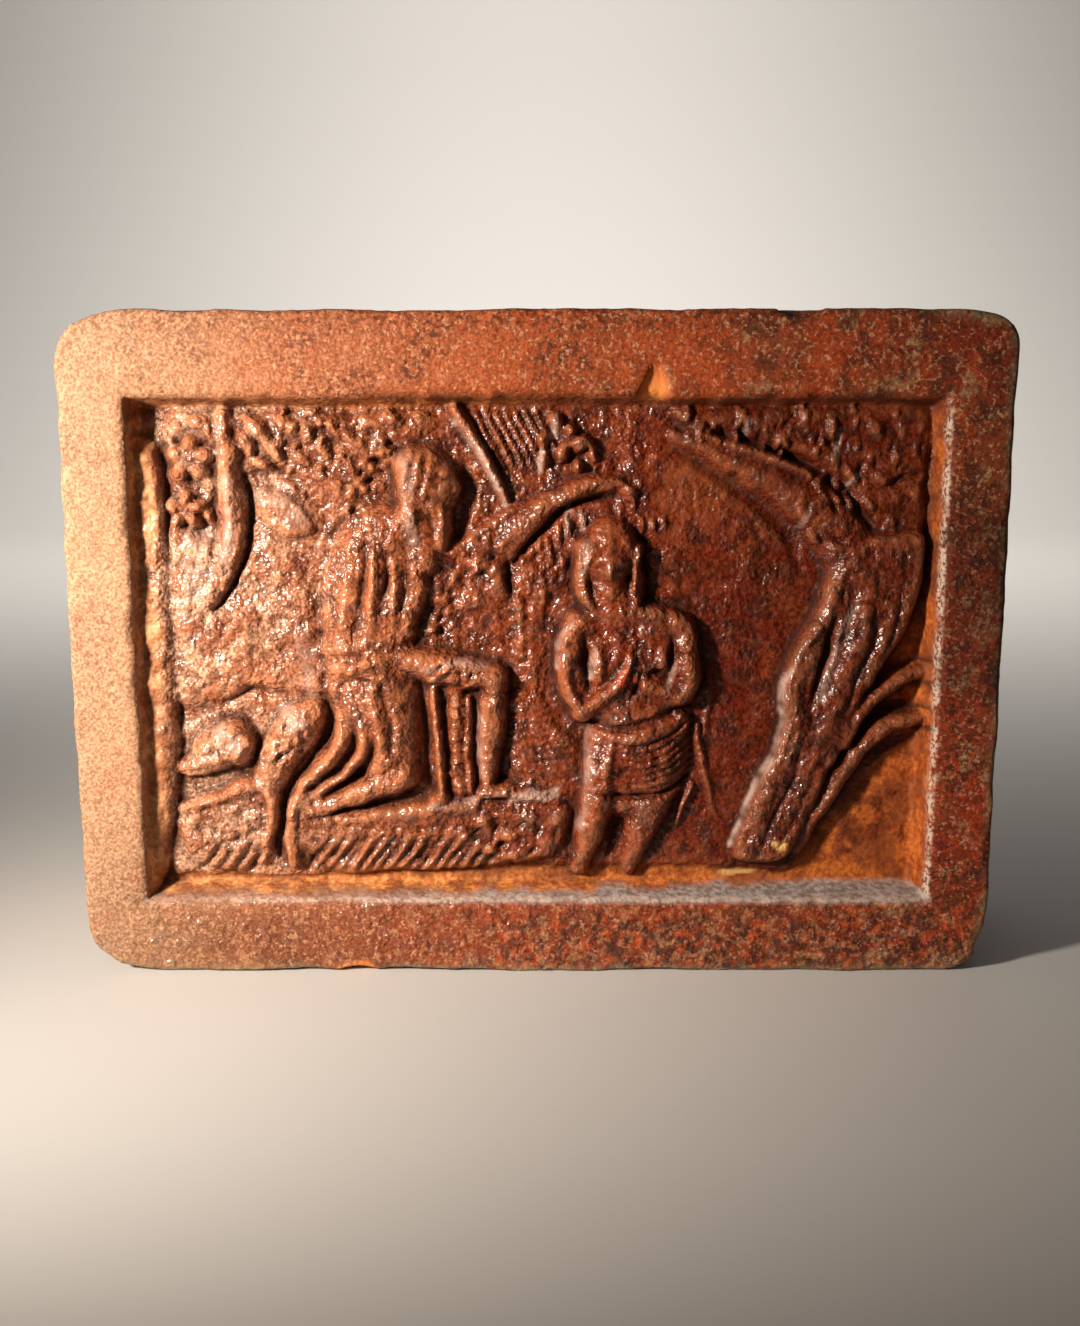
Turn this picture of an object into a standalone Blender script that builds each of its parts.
"""A relief plaque of fired clay: a thick moulded block with a sunk panel in its front.

The panel shows a kneeling figure who pours water over a standing one, a lamb, a dove in rays and two trees.
Metres, +Z up. The block stands on its underside, centred on the origin, and its front faces -Y.
"""

import math

import bmesh
import bpy
import numpy as np

# The block
WIDTH = 0.160
HEIGHT = 0.115
DEPTH = 0.050

# The sunk panel: the plain borders round it, its depth, and how far its walls lean in
SIDE_BORDER = 0.0112
TOP_BORDER = 0.0143
BOTTOM_BORDER = 0.0133
RECESS_DEPTH = 0.0070
WALL_LEAN = 0.0017

# Wear: the rounding of the front edges, and how much of a lost corner is missing at the back
WORN_EDGE = 0.0014
BACK_CORNER_LOSS = 0.4

# How far back from the front the chips in the edges reach
CHIP_REACH = 0.006

# The clay surface before it is thinned: spacing over the panel, and how much is kept
CLAY_SPACING = 0.0008
KEPT_SHARE = 0.19

# The scene is drawn in millimetres from the middle of a panel of this size and depth, and fitted to it
DRAWN_WIDTH = 137.6
DRAWN_HEIGHT = 87.4
DRAWN_DEPTH = 7.0

# Lost corners: side, end, length along the top or bottom, length down the side, squareness of what is left
CORNERS = (
    (-1, 1, 0.018, 0.0116, 3.2),
    (1, 1, 0.015, 0.0084, 3.6),
    (-1, -1, 0.016, 0.0124, 2.9),
    (1, -1, 0.0087, 0.015, 2.6),
)

# Chips out of the top and bottom edges: end, place across, half-length, depth
EDGE_CHIPS = ((1, 0.0435, 0.0040, 0.0013), (-1, -0.032, 0.0035, 0.0007), (1, -0.058, 0.005, 0.0004))

# A chip out of the inner edge of the top border: place across, half-width, height of the broken patch
INNER_CHIP = (0.0195, 0.0034, 0.0055)
INNER_CHIP_DEPTH = 0.0016

CLAY_COLOUR = (0.30, 0.085, 0.035, 1.0)
CLAY_ROUGHNESS = 0.62

recess_width = WIDTH - 2 * SIDE_BORDER
recess_height = HEIGHT - TOP_BORDER - BOTTOM_BORDER
recess_middle = BOTTOM_BORDER + recess_height / 2


def smooth_line(points, steps=6):
    """A smooth line through a few points; every column of a point is eased in the same way."""
    p = np.asarray(points, float)
    ends = np.vstack([2 * p[0] - p[1], p, 2 * p[-1] - p[-2]])
    t = np.linspace(0, 1, steps, endpoint=False)[:, None]
    spans = [
        b + 0.5 * ((c - a) * t + (2 * a - 5 * b + 4 * c - d) * t**2 + (3 * b - a - 3 * c + d) * t**3)
        for a, b, c, d in zip(ends, ends[1:], ends[2:], ends[3:])
    ]
    return np.vstack([*spans, p[-1:]])


class Relief:
    """The rise of the carving over the floor of the panel, at the points x, z of the drawing."""

    blend = 0.9

    def __init__(self, x, z):
        self.x = x
        self.z = z
        self.rise = np.zeros_like(x)

    def near(self, low, high):
        """The points inside a box."""
        inside = (self.x > low[0]) & (self.x < high[0]) & (self.z > low[1]) & (self.z < high[1])
        return np.flatnonzero(inside)

    def lay(self, at, form, how):
        """Raise the clay to a form, with a soft join, or add the form to the clay, or cut it in."""
        if how == "raise":
            clay = self.rise[at]
            soft = np.clip(np.minimum(clay, form), 0.001, self.blend)
            join = np.clip(soft - np.abs(clay - form), 0, None) ** 2 / (4 * soft)
            self.rise[at] = np.maximum(clay, form) + join
        elif how == "add":
            self.rise[at] += form
        else:
            self.rise[at] -= form

    def ridge(self, points, how="raise", crest=0.5):
        """A rounded form along a line; each point is (across, up, half-width, rise)."""
        line = smooth_line(points)
        reach = line[:, 2].max()
        at = self.near(line[:, :2].min(0) - reach, line[:, :2].max(0) + reach)
        x = self.x[at]
        z = self.z[at]
        share = np.full(x.shape, 9.0)
        height = np.zeros(x.shape)
        for a, b in zip(line, line[1:]):
            run = b - a
            length = max(run[0] ** 2 + run[1] ** 2, 1e-9)
            t = np.clip(((x - a[0]) * run[0] + (z - a[1]) * run[1]) / length, 0, 1)
            away = np.hypot(x - a[0] - t * run[0], z - a[1] - t * run[1]) / (a[2] + t * run[2])
            height = np.where(away < share, a[3] + t * run[3], height)
            share = np.minimum(share, away)
        self.lay(at, height * np.clip(1 - share**2, 0, None) ** crest, how)

    def sheet(self, outline, rise, shoulder):
        """A flat form with rounded shoulders inside a smooth outline."""
        steps = 6
        closed = [outline[-1], *outline, outline[0], outline[1]]
        line = smooth_line(closed, steps)[steps:-steps]
        at = self.near(line.min(0), line.max(0))
        x = self.x[at]
        z = self.z[at]
        inside = np.zeros(x.shape, bool)
        away = np.full(x.shape, 1e9)
        for a, b in zip(line, np.roll(line, -1, 0)):
            run = b - a
            t = np.clip(((x - a[0]) * run[0] + (z - a[1]) * run[1]) / max(run @ run, 1e-9), 0, 1)
            away = np.minimum(away, np.hypot(x - a[0] - t * run[0], z - a[1] - t * run[1]))
            if a[1] != b[1]:
                inside ^= ((a[1] > z) != (b[1] > z)) & (x < a[0] + (z - a[1]) * run[0] / run[1])
        edge = np.clip(away / shoulder, 0, 1)
        self.lay(at, np.where(inside, rise * np.sqrt(1 - (1 - edge) ** 2), 0), "raise")

    def lump(self, x, z, wide, high, rise, turn=0, how="raise", crest=0.5):
        """An oval swelling; wide and high are half its size."""
        reach = max(wide, high)
        at = self.near((x - reach, z - reach), (x + reach, z + reach))
        c = math.cos(math.radians(turn))
        s = math.sin(math.radians(turn))
        dx = self.x[at] - x
        dz = self.z[at] - z
        share = ((dx * c + dz * s) / wide) ** 2 + ((dz * c - dx * s) / high) ** 2
        self.lay(at, rise * np.clip(1 - share, 0, None) ** crest, how)

    def leaf(self, x, z, length, turn, rise, slim=0.25):
        """A pointed leaf, its tip towards turn."""
        c = length * math.cos(math.radians(turn))
        s = length * math.sin(math.radians(turn))
        widths = ((-0.5, 0.4, 0.7), (-0.15, 1.0, 1.0), (0.2, 0.8, 1.0), (0.5, 0.25, 0.6))
        self.ridge([(x + at * c, z + at * s, wide * slim * length, high * rise) for at, wide, high in widths])


def carve_ground(clay):
    """The sheet of clay that carries the scene, the hill, the bank of the stream and the rock."""
    clay.sheet([(-66.8, 42.4), (-20, 42.8), (66.6, 42.4), (67.2, 25), (66.2, 8), (61.5, -6), (66.4, -17),
                (64.6, -29), (56, -37.5),
                (44, -40.6), (28, -39.4), (-10, -39.6), (-45, -41.2), (-61, -40.8), (-66.4, -37),
                (-67.4, 0)], 1.0, 1.6)
    clay.sheet([(-61, 22), (-52, 24), (-44, 30), (-36, 30), (-33, 20), (-36, 5), (-36, -8), (-44, -9),
                (-53, -6), (-61, -2)], 1.9, 3.5)
    clay.ridge([(-60, -6.5, 1.6, 1.6), (-52, -4.0, 2.8, 2.5), (-44, -3.6, 3.2, 2.6),
                (-38.5, -5.5, 2.6, 2.5)])
    clay.ridge([(-46, 20, 2.4, 2.5), (-43.6, 12, 3.2, 2.8), (-41, 4, 2.6, 2.5)])
    clay.sheet([(-4, 16), (0.5, 15.5), (2.6, 11), (1.5, 5), (1.5, -6), (3.5, -12), (8, -18), (8, -26),
                (-2, -26), (-5.5, -18), (-4.5, -6)], 1.8, 2.2)
    clay.sheet([(-43.5, -31), (-37, -29.4), (-28, -28.6), (-18, -27.0), (-9, -26.2), (-2, -26.0),
                (4.5, -26.6), (6.4, -29), (5.4, -33.5),
                (3.0, -37), (-4, -38.8), (-15, -39.7), (-28, -40.2), (-38, -39.6)], 3.0, 2.4)
    clay.ridge([(-40, -30.6, 0.9, 3.3), (-30, -29.2, 1.1, 3.7), (-20, -27.8, 1.2, 3.8),
                (-11, -26.8, 1.3, 3.8)])
    hatch_lean = 4.6
    for k in range(14):
        foot = -40.6 + 2.35 * k
        clay.ridge([(foot, -39.6, 0.7, 0.5), (foot + 0.5 * hatch_lean, -36.6, 0.9, 1.3),
                    (foot + hatch_lean, -33.4, 0.6, 0.6)], "cut", 0.8)
    for x, z, size in ((-9.5, -30.5, 2.6), (-5.0, -33.2, 2.6), (-1.2, -29.4, 2.4), (1.6, -34.2, 2.4),
                       (-8.2, -35.6, 2.0), (3.6, -30, 2.0)):
        clay.lump(x, z, size, 0.85 * size, 3.7)


def carve_left_tree(clay):
    """The trunk against the left wall, its branch, and the two flowers and the leaves on it."""
    clay.ridge([(-65.2, 40, 1.6, 2.4), (-65.1, 30, 2.3, 3.9), (-65.0, 15, 2.5, 4.4),
                (-65.2, 0, 2.6, 4.4), (-65.5, -14, 2.5, 4.1),
                (-65.9, -25, 2.1, 3.4), (-66.4, -33, 1.4, 2.2), (-65.4, -41, 0.8, 1.2)])
    clay.sheet([(-62.6, 23), (-57.5, 19.5), (-54.4, 18), (-54, 12), (-57, 6), (-61, 3)], 2.4, 2.0)
    clay.sheet([(-62.8, 40.6), (-56, 41.6), (-34, 41), (-17, 40.5), (-20, 36), (-27, 33), (-31, 25),
                (-35, 21), (-38, 26), (-43, 31),
                (-48.6, 31), (-54, 28), (-57.5, 22.6), (-62.2, 24)], 2.0, 2.0)
    clay.ridge([(-51.6, 41, 1.9, 3.4), (-51.2, 34, 2.3, 4.0), (-51.3, 26, 2.6, 4.2),
                (-52.0, 19.5, 2.9, 4.0), (-54.0, 13.5, 3.0, 3.4),
                (-57.0, 8.0, 3.0, 2.6), (-60.0, 2.0, 2.6, 2.0)])
    for x, z, size in ((-57.7, 33.8, 3.6), (-60.0, 26.2, 3.2)):
        clay.lump(x, z, size, 0.92 * size, 3.6)
        for k in range(6):
            turn = math.radians(60 * k + 15)
            petal_x = x + 0.68 * size * math.cos(turn)
            petal_z = z + 0.62 * size * math.sin(turn)
            clay.lump(petal_x, petal_z, 0.42 * size, 0.3 * size, 4.1, 60 * k + 15)
    for x, z, length, turn, rise in (
        (-61.6, 37.8, 5.4, 125, 3.1), (-57.2, 39.2, 6.6, 170, 3.3), (-54.6, 37.2, 4.6, -60, 3.2),
        (-56.0, 28.8, 4.2, -70, 2.8),
        (-55.9, 23.8, 4.2, -75, 2.9), (-49.9, 34.8, 6.4, -78, 4.2), (-47.2, 37.6, 7.4, -52, 4.2),
        (-44.4, 34.4, 6.2, -58, 4.2),
        (-46.8, 32.0, 4.4, -20, 3.7), (-42.0, 38.8, 6.4, -38, 3.8), (-38.6, 37.4, 5.4, -75, 4.0),
        (-40.0, 33.4, 5.2, -40, 3.6),
        (-36.2, 34.4, 4.6, -60, 3.6), (-34.6, 38.6, 5.2, -55, 3.3), (-31.0, 36.2, 5.2, -35, 3.3),
        (-28.4, 39.6, 5.0, -15, 2.9),
        (-26.6, 36.0, 4.0, -60, 2.8), (-32.0, 31.8, 4.6, -35, 3.1), (-34.4, 28.4, 4.6, -75, 3.1),
        (-30.0, 27.6, 4.0, -60, 2.8),
        (-24.0, 39.6, 4.2, -20, 2.8),
    ):
        clay.leaf(x, z, length, turn, rise)
    clay.ridge([(-48.4, 28.4, 0.9, 2.8), (-45.6, 29.6, 1.2, 3.5), (-42.6, 29.2, 1.3, 3.7),
                (-40.2, 27.4, 1.3, 3.7), (-37.6, 23.8, 1.0, 3.0)])


def carve_lamb(clay):
    """The lamb lying behind the figure: body, haunch, and the head turned up to the left."""
    clay.sheet([(-63, -27.5), (-57, -25.4), (-51, -23.0), (-47.2, -23.2), (-45.8, -27), (-46.6, -32),
                (-48.6, -37), (-52, -39.8),
                (-58, -39.8), (-63, -37), (-64.6, -32)], 3.0, 4.0)
    clay.ridge([(-62.6, -28.4, 1.4, 3.2), (-57.0, -26.6, 1.8, 3.7), (-51.4, -24.2, 1.9, 4.0),
                (-47.6, -24.8, 1.7, 4.0), (-46.9, -29, 1.5, 3.8),
                (-48.0, -34, 1.4, 3.4), (-49.6, -38, 1.2, 2.8)])
    clay.ridge([(-39.4, -10.8, 3.2, 4.1), (-42.0, -13.4, 4.3, 4.9), (-45.0, -17.8, 4.0, 4.6),
                (-47.4, -22.6, 3.2, 3.9)])
    clay.ridge([(-56.5, -18.6, 3.0, 4.8), (-60.0, -20.2, 2.3, 4.3), (-62.2, -20.8, 1.6, 3.6)])
    clay.lump(-56.6, -17.6, 5.2, 4.2, 4.8, 28)
    clay.lump(-53.0, -16.2, 3.6, 4.8, 5.1, 10)


def carve_kneeling_figure(clay):
    """The robed figure on one knee, seen from the side, one arm stretched out over the stream."""
    clay.sheet([(-19.4, 17), (-15, 19.6), (-9.5, 22.4), (-5.6, 25.6), (-2.5, 26.4), (-0.6, 23.5),
                (-3.4, 20.0), (-4.2, 16.6),
                (-4.0, 11.2), (-6.5, 7.6), (-12, 6.6), (-18.5, 8.0)], 3.0, 1.7)
    clay.ridge([(-19.5, 16.5, 2.8, 4.2), (-13.5, 17.2, 2.8, 4.0), (-7.8, 19.8, 2.8, 3.9),
                (-2.8, 23.2, 2.7, 4.0), (1.6, 26.2, 2.3, 4.0),
                (6.2, 28.3, 2.0, 3.9), (10.5, 29.2, 1.7, 3.7), (14.4, 28.8, 1.4, 3.3)])
    clay.lump(15.6, 27.6, 2.2, 1.5, 3.1, -40)
    # the robe over the back, the hips and the thigh
    clay.ridge([(-27.5, 19.5, 6.8, 4.4), (-28.0, 12, 9.3, 5.0), (-29.4, 3, 8.3, 5.0),
                (-28.9, -5, 8.3, 5.1), (-27.8, -12, 7.4, 5.1),
                (-26.2, -19, 5.6, 5.0)])
    clay.ridge([(-21.5, 18, 3.4, 4.3), (-20.8, 12, 2.8, 4.3), (-22.6, 6, 2.6, 4.2), (-23.5, 0, 2.6, 4.0)])
    clay.ridge([(-31.0, -9, 4.2, 4.6), (-32.4, -16, 4.0, 4.4), (-36.5, -21.5, 3.8, 4.0),
                (-40.6, -26.5, 3.4, 3.6), (-42.8, -32, 2.4, 3.3),
                (-43.2, -38.4, 1.3, 2.8)])
    clay.ridge([(-23.6, -21.8, 3.4, 5.2), (-29, -24.4, 2.9, 4.9), (-35, -26.6, 2.4, 4.3),
                (-39.6, -28.6, 1.8, 3.9)])
    # the folds that sweep back to the hem, ridge and hollow in turn, then those down the back and the waist
    clay.ridge([(-34.2, -11, 1.0, 0.5), (-34.4, -15.4, 1.1, 1.1), (-37.0, -19.4, 1.1, 1.3),
                (-41.0, -23.4, 1.0, 1.0),
                (-43.8, -29.4, 0.9, 0.8)], "add", 1)
    clay.ridge([(-31.9, -12, 0.8, 0.8), (-32.3, -17, 1.1, 2.0), (-35.8, -21.4, 1.1, 1.9),
                (-40.0, -24.6, 0.9, 1.0)], "cut", 1)
    clay.ridge([(-30.2, -12.6, 0.9, 0.5), (-30.6, -18, 1.1, 1.0), (-34.0, -21.9, 1.0, 1.0),
                (-38.4, -25.0, 0.8, 0.6)], "add", 1)
    clay.ridge([(-28.5, -15.5, 0.8, 0.6), (-29.8, -20.2, 1.1, 1.7), (-33.8, -23.6, 0.9, 1.3),
                (-37.6, -26.0, 0.6, 0.5)], "cut", 1)
    clay.ridge([(-29.8, 21, 0.9, 0.8), (-30.1, 13, 1.3, 1.5), (-31.6, 6, 1.3, 1.5),
                (-32.2, 1, 0.9, 0.7)], "cut", 1)
    clay.ridge([(-26.2, 20, 0.8, 0.7), (-25.8, 14, 1.1, 1.4), (-26.2, 8, 0.9, 0.9)], "cut", 1)
    clay.ridge([(-37.4, -1.0, 1.0, 0.4), (-30, -0.4, 1.3, 0.9), (-21.5, 1.8, 1.1, 0.9)], "cut", 1)
    # neck, head and beard
    clay.ridge([(-24.5, 19, 3.6, 4.6), (-21.8, 24, 3.2, 4.8)])
    clay.lump(-19.4, 29.0, 5.6, 6.9, 5.6, 6)
    clay.lump(-21.4, 32.0, 3.6, 3.9, 5.5, 20)
    clay.ridge([(-16.6, 25.0, 2.2, 5.0), (-15.6, 21.8, 1.7, 4.4), (-15.4, 19.4, 0.9, 3.6)])
    # the raised knee and its shin, the foot, the cloth that hangs from the thigh, and the staff
    clay.ridge([(-14.2, -6, 1.8, 2.9), (-14.0, -15, 1.9, 2.7), (-13.8, -24.6, 1.8, 2.6)])
    clay.ridge([(-22.0, -1.6, 3.0, 4.7), (-16.0, -3.0, 3.4, 4.9), (-10.5, -3.9, 3.0, 5.0),
                (-7.6, -4.6, 2.8, 5.1)])
    clay.ridge([(-7.5, -5.0, 2.8, 5.1), (-7.7, -11, 2.8, 4.9), (-8.1, -17, 2.3, 4.4),
                (-8.6, -22, 1.8, 3.9), (-8.5, -24.8, 1.9, 3.9)])
    clay.ridge([(-9.8, -25.3, 1.4, 3.8), (-5.8, -24.8, 1.7, 4.0), (-2.0, -25.8, 1.4, 3.7),
                (3.6, -26.8, 0.9, 3.3)])
    clay.ridge([(-18.0, -6.5, 0.9, 3.0), (-17.6, -14, 1.0, 3.4), (-17.0, -20, 1.0, 3.4),
                (-16.8, -25, 1.0, 3.4)])
    clay.lump(-17.4, -26.4, 2.2, 1.6, 4.3, 20)


def carve_standing_figure(clay):
    """The figure who stands in the stream with bowed head and joined hands, a cloth round the hips."""
    clay.ridge([(11.4, -23, 3.9, 4.9), (10.5, -28.5, 3.5, 4.9), (9.4, -34, 2.7, 4.4),
                (8.6, -38.4, 2.2, 3.4)])
    clay.ridge([(21.0, -23, 4.6, 4.8), (20.2, -28, 3.9, 4.6), (18.4, -33, 3.1, 4.1),
                (17.0, -37.4, 2.6, 3.2)])
    clay.ridge([(17.0, -1.6, 9.4, 4.6), (17.8, -8, 9.2, 4.7), (18.2, -14, 9.4, 5.2),
                (17.9, -19, 9.6, 5.4), (17.4, -22, 8.8, 5.1)])
    clay.ridge([(7.6, 5.2, 3.2, 4.6), (14, 6.6, 3.2, 4.9), (21, 6.0, 3.2, 4.9), (26.4, 3.8, 3.2, 4.6)])
    clay.ridge([(8.6, -11.6, 0.9, 1.0), (14, -13.2, 1.1, 1.4), (20, -12.0, 1.1, 1.4),
                (26.4, -9.2, 0.9, 1.0)], "cut", 1)
    for k in range(5):
        drop = 2.3 * k
        clay.ridge([(11.6, -15.8 - 0.9 * drop, 0.7, 0.4), (17.6, -17.2 - 0.95 * drop, 0.95, 1.3),
                    (22.8, -15.6 - drop, 0.95, 1.4),
                    (27.0, -12.0 - 1.05 * drop, 0.8, 0.8)], "cut", 1)
    # upper arms, forearms and joined hands
    clay.ridge([(6.6, 4.2, 3.2, 5.0), (5.0, -1.0, 2.9, 5.3), (5.5, -6.4, 2.7, 5.3), (8.0, -10.2, 2.4, 5.3)])
    clay.ridge([(8.0, -10.2, 2.3, 5.3), (11.2, -8.2, 2.2, 5.7), (14.2, -5.0, 2.0, 6.0)])
    clay.ridge([(26.2, 3.2, 3.3, 4.9), (27.8, -1.5, 2.9, 5.1), (27.7, -6.2, 2.5, 5.1),
                (25.6, -8.6, 2.2, 5.1)])
    clay.ridge([(25.6, -8.4, 2.2, 5.1), (21.6, -6.8, 2.1, 5.5), (17.8, -4.6, 2.0, 5.9)])
    clay.ridge([(13.6, -6.0, 1.7, 5.9), (15.4, -3.2, 1.7, 6.2), (16.4, -0.6, 1.2, 5.9)])
    clay.lump(9.6, -2.2, 1.7, 3.0, 1.9, 8, "cut", 1)
    clay.lump(22.4, -1.6, 1.8, 2.6, 1.4, -12, "cut", 1)
    # neck, bowed head, and the end of the cloth at the hip
    clay.ridge([(13.2, 10.5, 2.8, 4.9), (13.8, 7.2, 3.4, 4.9)])
    clay.lump(12.4, 16.2, 5.3, 6.4, 5.9, -6)
    clay.ridge([(28.8, -13, 1.2, 3.4), (29.6, -18, 1.3, 3.3), (28.6, -23, 1.3, 2.8),
                (27.4, -28.5, 1.0, 1.8)])


def carve_sky(clay):
    """The rays, the dove, and the water that falls in short strokes from the hand."""
    clay.ridge([(-13.8, 41.8, 1.0, 2.8), (-10.6, 37.0, 1.05, 3.0), (-7.6, 31.6, 0.95, 2.9),
                (-5.2, 27.0, 0.8, 2.5)])
    for k in range(6):
        x = -10.0 + 2.0 * k
        clay.ridge([(x, 41.2, 0.8, 1.8), (x + 3.0, 36.0, 0.8, 2.0),
                    (x + 6.2 - 0.45 * k, 30.6 + 0.35 * k, 0.6, 1.6)])
    clay.lump(4.6, 35.0, 1.9, 3.8, 3.7, -22)
    clay.lump(6.2, 31.6, 1.3, 1.3, 3.6)
    clay.ridge([(4.0, 36.4, 1.2, 3.1), (1.6, 36.2, 1.3, 3.3), (1.2, 32.4, 0.9, 2.3)])
    clay.ridge([(5.6, 36.6, 1.2, 3.1), (8.6, 35.6, 1.4, 3.2), (11.2, 33.6, 0.8, 2.2)])
    clay.ridge([(3.8, 38.2, 1.2, 3.0), (3.4, 40.4, 1.5, 3.2), (2.8, 41.8, 1.0, 2.2)])
    for x, z, length, lean in (
        (-2.2, 17.2, 2.6, 8), (0.2, 18.6, 3.2, 5), (2.2, 17.0, 4.4, 14), (3.5, 20.8, 4.4, 8),
        (5.0, 22.8, 5.2, 6), (8.0, 24.6, 3.4, -4),
        (11.4, 24.4, 3.4, 12), (14.4, 24.4, 4.2, 8), (16.8, 24.8, 3.4, 4), (19.2, 22.2, 4.2, -2),
        (21.7, 21.8, 4.0, 6), (18.2, 30.4, 3.6, 8),
    ):
        dx = 0.5 * length * math.sin(math.radians(lean))
        dz = 0.5 * length * math.cos(math.radians(lean))
        clay.ridge([(x - dx, z + dz, 0.7, 2.4), (x, z, 0.9, 3.3), (x + dx, z - dz, 0.8, 2.8)])


def carve_right_tree(clay):
    """The tree that leans out of the right wall: roots, trunk, the bough over the stream, and leaves."""
    clay.sheet([(51.5, -29), (56, -23.4), (60.5, -18.8), (65.4, -17.2), (66.2, -22), (64.4, -28.6),
                (59, -33), (53, -35.4)], 2.4, 2.6)
    clay.sheet([(49.6, 13), (53, 19), (59, 21), (66.4, 21), (66.8, 12), (64.6, 4), (61.6, -2.6),
                (58.0, -9), (55.4, -15), (52.8, -21),
                (49.8, -28), (47.0, -34.5), (43.6, -38.4), (35.4, -37.4), (37.2, -31), (40.3, -20.6),
                (43.2, -17.6), (43.7, -12),
                (43.0, -6), (48.2, 4.0)], 3.7, 3.2)
    clay.ridge([(50.0, 7.4, 1.5, 4.0), (46.4, -0.6, 2.0, 5.0), (45.2, -6.4, 2.0, 5.1),
                (45.6, -12.4, 2.0, 5.1), (44.4, -17.6, 2.0, 5.1),
                (41.8, -21.6, 1.9, 5.0), (39.8, -27, 1.8, 4.6), (37.0, -35.6, 1.3, 3.4)])
    clay.ridge([(57.5, 14, 3.8, 4.9), (56.6, 6, 3.6, 5.3), (54.9, 0, 3.2, 5.3), (52.6, -6, 2.8, 5.2),
                (51.3, -12, 2.4, 4.9),
                (49.8, -20, 2.0, 4.6), (46.6, -28, 1.9, 4.2), (43, -35, 1.6, 3.4)])
    clay.ridge([(51.6, 5.5, 1.0, 1.0), (49.6, -0.5, 1.4, 2.1), (48.4, -7, 1.2, 1.6),
                (48.2, -14, 1.0, 1.3), (46.4, -20, 0.9, 1.1),
                (43.2, -28, 0.8, 0.9)], "cut", 1)
    clay.ridge([(66.8, -3.8, 1.8, 3.4), (63.6, -5.0, 1.9, 3.6), (60.2, -8.2, 2.0, 4.2),
                (57.0, -12.0, 2.0, 4.5), (54.8, -17, 1.8, 4.1)])
    clay.ridge([(67.0, -12.2, 2.0, 3.9), (63.0, -13.4, 2.1, 4.1), (59.2, -16.2, 2.2, 4.3),
                (55.6, -20.4, 2.2, 4.2), (52.2, -25.8, 2.0, 3.8),
                (48.8, -31.8, 1.8, 3.2), (46.4, -36.4, 1.4, 2.2)])
    clay.sheet([(22, 41.4), (34, 42), (50, 42.2), (66.4, 41.8), (66.8, 30), (66.4, 20), (60, 17),
                (56, 24), (51, 29.5), (44, 34), (35, 37),
                (27, 38.5)], 2.2, 2.4)
    clay.ridge([(57.0, 13, 5.6, 4.6), (54.4, 19, 4.0, 4.3), (50.8, 25, 3.0, 4.1), (45.8, 29.6, 2.6, 3.9),
                (39.6, 32.6, 2.3, 3.6),
                (32, 35.0, 2.0, 3.2), (24, 37.6, 1.5, 2.4)])
    clay.ridge([(49.6, 18.6, 1.6, 2.9), (44.5, 23.4, 1.6, 2.7), (38.0, 27.4, 1.4, 2.4),
                (30.6, 31.4, 1.2, 2.2), (24, 34.6, 1.0, 1.8)])
    for x, z, length, turn, rise in (
        (25.2, 40.4, 4.4, -40, 3.3), (28.6, 38.8, 4.0, -50, 3.0), (35.2, 40.0, 4.8, -62, 3.7),
        (33.4, 33.4, 3.0, -70, 3.9),
        (42.0, 36.6, 3.8, -60, 3.8), (45.4, 40.6, 4.6, -80, 3.2), (50.0, 38.4, 5.8, -78, 4.2),
        (50.8, 33.2, 4.4, -76, 3.8),
        (53.6, 30.8, 5.0, -58, 4.3), (57.5, 38.0, 5.6, -62, 4.0), (56.6, 33.8, 4.2, -80, 3.5),
        (62.0, 38.4, 5.0, -75, 3.4),
        (64.6, 34.4, 4.6, -80, 3.2), (61.2, 33.2, 4.4, -85, 3.4), (58.6, 29.8, 4.6, -40, 3.5),
        (61.8, 26.4, 4.4, -70, 3.4),
        (65.0, 27.6, 4.4, -80, 3.1), (57.0, 25.6, 4.2, -60, 3.8), (61.2, 22.4, 3.8, -85, 3.5),
        (64.8, 21.4, 4.2, -80, 3.2),
        (45.4, 23.4, 5.0, -68, 3.7), (48.0, 19.8, 4.6, -42, 3.8), (57.8, 17.2, 4.0, -60, 5.0),
        (61.2, 17.0, 3.8, -80, 4.4),
        (59.2, 12.8, 4.6, -80, 5.6),
    ):
        clay.leaf(x, z, length, turn, rise)


def panel_rise(x, z):
    """How far the carving stands over the floor of the recess, in metres."""
    drawn_x = x * DRAWN_WIDTH / recess_width
    drawn_z = (z - recess_middle) * DRAWN_HEIGHT / recess_height
    clay = Relief(drawn_x, drawn_z)
    carve_ground(clay)
    carve_left_tree(clay)
    carve_lamb(clay)
    carve_kneeling_figure(clay)
    carve_sky(clay)
    carve_standing_figure(clay)
    carve_right_tree(clay)
    return np.clip(clay.rise, 0, DRAWN_DEPTH) * RECESS_DEPTH / DRAWN_DEPTH


def graded(length, low_border, high_border):
    """Places of the front grid's lines along one side: close on the worn edges and the panel, wide between."""
    edge = WORN_EDGE * np.array([0, 0.3, 0.65])
    wall = WALL_LEAN * np.array([0, 0.35, 0.7])
    low = np.linspace(WORN_EDGE, low_border, 4, endpoint=False)
    high = np.linspace(WORN_EDGE, high_border, 4, endpoint=False)
    foot = low_border + WALL_LEAN
    far_foot = length - high_border - WALL_LEAN
    panel = np.linspace(foot, far_foot, round((far_foot - foot) / CLAY_SPACING) + 1)
    near_side = [edge, low, low_border + wall]
    far_side = [length - high_border - wall[::-1], length - high[::-1], length - edge[::-1]]
    return np.concatenate([*near_side, panel, *far_side])


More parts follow.
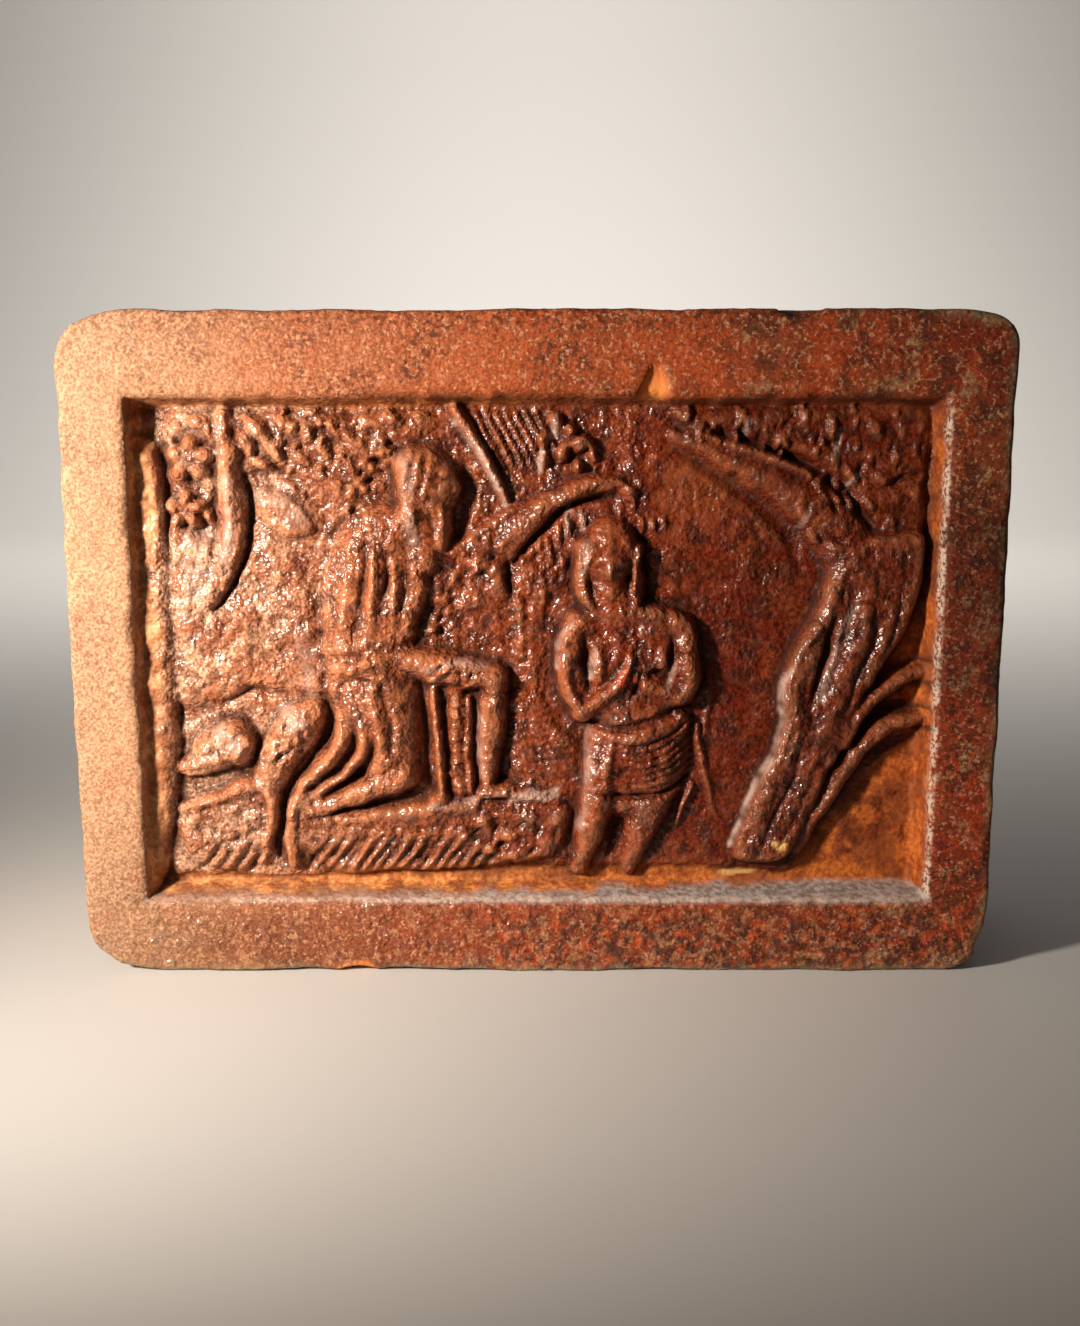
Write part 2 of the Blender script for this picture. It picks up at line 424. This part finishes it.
def front_depth(x, z):
    """How far the front surface lies behind the front plane: worn edges, sloping walls, carved panel."""
    to_edge = np.minimum(WIDTH / 2 - np.abs(x), np.minimum(z, HEIGHT - z))
    edge_share = np.clip(1 - to_edge / WORN_EDGE, 0, 1)
    rounding = WORN_EDGE * (1 - np.sqrt(1 - edge_share**2))
    into_x = recess_width / 2 - np.abs(x)
    into_z = np.minimum(z - BOTTOM_BORDER, HEIGHT - TOP_BORDER - z)
    wall_share = np.clip(np.minimum(into_x, into_z) / WALL_LEAN, 0, 1)
    wall_height = RECESS_DEPTH * (1 - wall_share)
    carved = RECESS_DEPTH - np.maximum(wall_height, panel_rise(x, z))
    recessed = np.where(wall_share > 0, carved, 0)
    place, half_width, height = INNER_CHIP
    chip_x = 1 - np.abs(x - place) / half_width
    chip_z = 1 - (z - HEIGHT + TOP_BORDER) / height
    chip = INNER_CHIP_DEPTH * np.clip(np.minimum(chip_x, chip_z), 0, 1) * (chip_z <= 1)
    return rounding + recessed + chip


def without_corners(x, z, loss):
    """The outline with its corners worn away; loss is 1 in front and less at the back."""
    for side, end, along, down, squareness in CORNERS:
        u = (side * x - WIDTH / 2 + along) / along
        v = (end * (z - HEIGHT / 2) - HEIGHT / 2 + down) / down
        corner = (u > 0) & (v > 0)
        u = np.where(corner, u, 0.5)
        v = np.where(corner, v, 0.5)
        share = np.maximum(u, v) / (u**squareness + v**squareness) ** (1 / squareness)
        pull = np.where(corner, loss * (1 - share), 0)
        x = x - side * pull * u * along
        z = z - end * pull * v * down
    return x, z


def edge_loss(x, z):
    """How far chips lower the top edge, or raise the bottom one, at the front."""
    change = np.zeros_like(x)
    for end, place, half_length, depth in EDGE_CHIPS:
        edge = HEIGHT if end > 0 else 0
        close = np.clip(1 - np.abs(z - edge) / (4 * depth), 0, 1)
        change -= end * depth * close * np.clip(1 - ((x - place) / half_length) ** 2, 0, 1)
    return change


def clay_material():
    material = bpy.data.materials.new("fired_clay")
    material.use_nodes = True
    shader = material.node_tree.nodes["Principled BSDF"]
    shader.inputs["Base Color"].default_value = CLAY_COLOUR
    shader.inputs["Roughness"].default_value = CLAY_ROUGHNESS
    shader.inputs["Metallic"].default_value = 0.0
    return material


def make_plaque(collection):
    """The block: a fine grid in front, its rim drawn back to the flat bedding face, then carved and worn."""
    columns = graded(WIDTH, SIDE_BORDER, SIDE_BORDER) - WIDTH / 2
    rows = graded(HEIGHT, BOTTOM_BORDER, TOP_BORDER)
    shape = bmesh.new()
    bmesh.ops.create_grid(shape, x_segments=len(columns) - 1, y_segments=len(rows) - 1, size=0.5)
    for vert in shape.verts:
        column = round((vert.co.x + 0.5) * (len(columns) - 1))
        row = round((vert.co.y + 0.5) * (len(rows) - 1))
        vert.co = (columns[column], -DEPTH / 2, rows[row])
    rim = [edge for edge in shape.edges if edge.is_boundary]
    for step in (CHIP_REACH, DEPTH - CHIP_REACH):
        grown = bmesh.ops.extrude_edge_only(shape, edges=rim)["geom"]
        rim = [item for item in grown if isinstance(item, bmesh.types.BMEdge)]
        corners = [item for item in grown if isinstance(item, bmesh.types.BMVert)]
        bmesh.ops.translate(shape, verts=corners, vec=(0, step, 0))
    bmesh.ops.contextual_create(shape, geom=rim)

    x, y, z = np.array([vert.co for vert in shape.verts]).T
    back = (y + DEPTH / 2) / DEPTH
    front = back < 1e-6
    z = z + np.where(front, edge_loss(x, z), 0)
    y = y + np.where(front, front_depth(x, z), 0)
    x, z = without_corners(x, z, 1 - (1 - BACK_CORNER_LOSS) * back)
    for vert, place in zip(shape.verts, zip(x, y, z)):
        vert.co = place

    # the clay never takes the mould quite sharply, so the panel is eased once in its depth
    sunk = front & (y > WORN_EDGE - DEPTH / 2)
    panel = [vert for vert, low in zip(shape.verts, sunk) if low]
    bmesh.ops.smooth_vert(shape, verts=panel, factor=0.5, use_axis_y=True)
    bmesh.ops.recalc_face_normals(shape, faces=shape.faces)

    mesh = bpy.data.meshes.new("relief_plaque")
    shape.to_mesh(mesh)
    shape.free()
    mesh.materials.append(clay_material())
    plaque = bpy.data.objects.new("relief_plaque", mesh)
    collection.objects.link(plaque)
    thin = plaque.modifiers.new("thin the flat stretches", "DECIMATE")
    thin.decimate_type = "COLLAPSE"
    thin.ratio = KEPT_SHARE
    return plaque


def build():
    for item in list(bpy.data.objects):
        bpy.data.objects.remove(item)
    collection = bpy.data.collections.new("relief plaque")
    bpy.context.scene.collection.children.link(collection)
    make_plaque(collection)


build()
